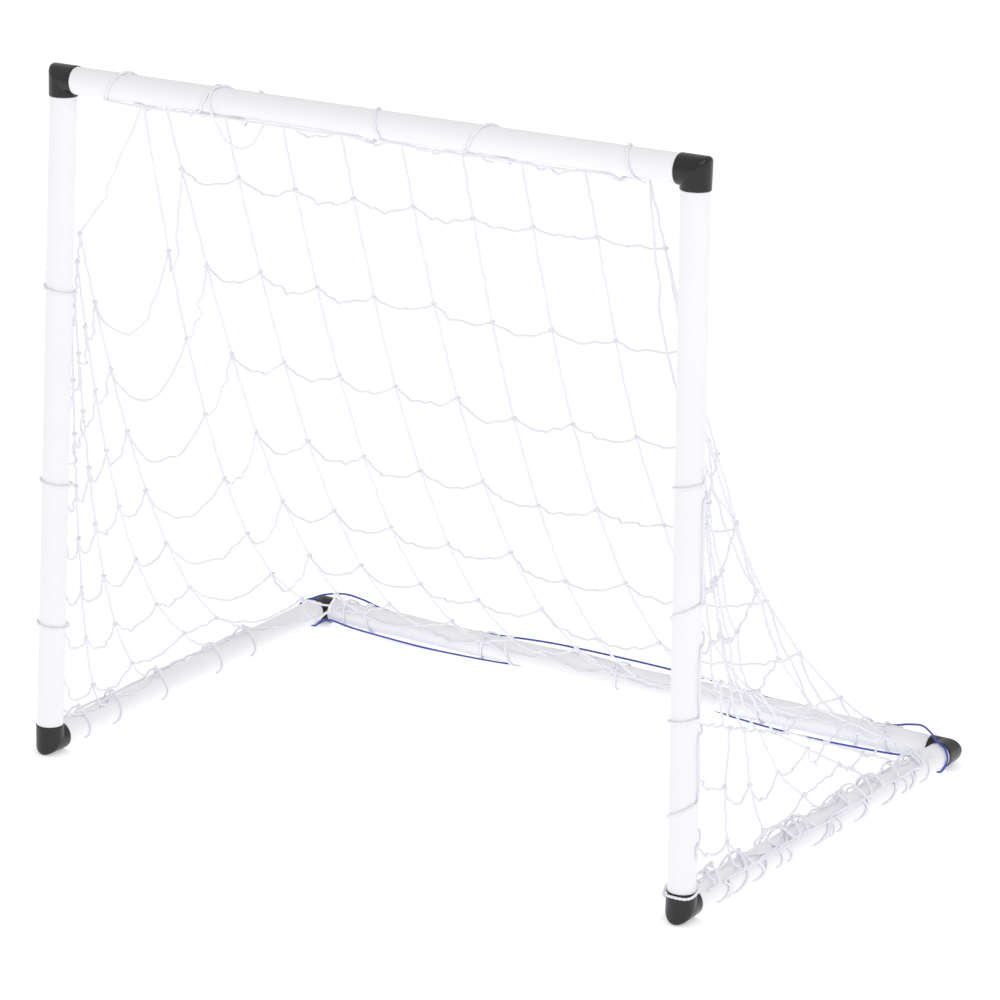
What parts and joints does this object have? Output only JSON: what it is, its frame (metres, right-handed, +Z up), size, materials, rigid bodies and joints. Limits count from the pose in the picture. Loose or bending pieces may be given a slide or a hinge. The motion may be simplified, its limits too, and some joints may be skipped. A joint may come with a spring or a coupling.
{
  "type": "toy goal",
  "caption": "Small free-standing toy goal: a frame of plastic tubes push-fitted into two-way corner connectors, with a twine net laced to the tubes.",
  "frame": {"origin": "on the ground, in the middle of the footprint", "axes": "+X along the crossbar, to the right seen from the open front; +Y from the open front to the rear tube; +Z up"},
  "size_m": [0.8812, 0.598, 0.7662],
  "materials": {
    "tube": "smooth white extruded tube with a soft sheen",
    "connector": "satin black moulding",
    "twine": "white twisted synthetic twine",
    "elastic": "navy blue braided sleeve over a rubber core"
  },
  "bodies": {
    "root": {"crossbar": "tube", "left_post": "tube", "right_post": "tube", "left_base_tube": "tube", "right_base_tube": "tube", "rear_base_tube": "tube", "top_left_connector": "connector", "top_right_connector": "connector", "front_left_connector": "connector", "front_right_connector": "connector", "rear_left_connector": "connector", "rear_right_connector": "connector", "back_net": "twine", "left_side_net": "twine", "right_side_net": "twine", "crossbar_lacing": "twine", "left_post_lacing": "twine", "right_post_lacing": "twine", "left_base_lacing": "twine", "right_base_lacing": "twine", "rear_lacing": "twine", "right_post_tie": "twine", "rear_elastic": "elastic"}
  },
  "joints": []
}
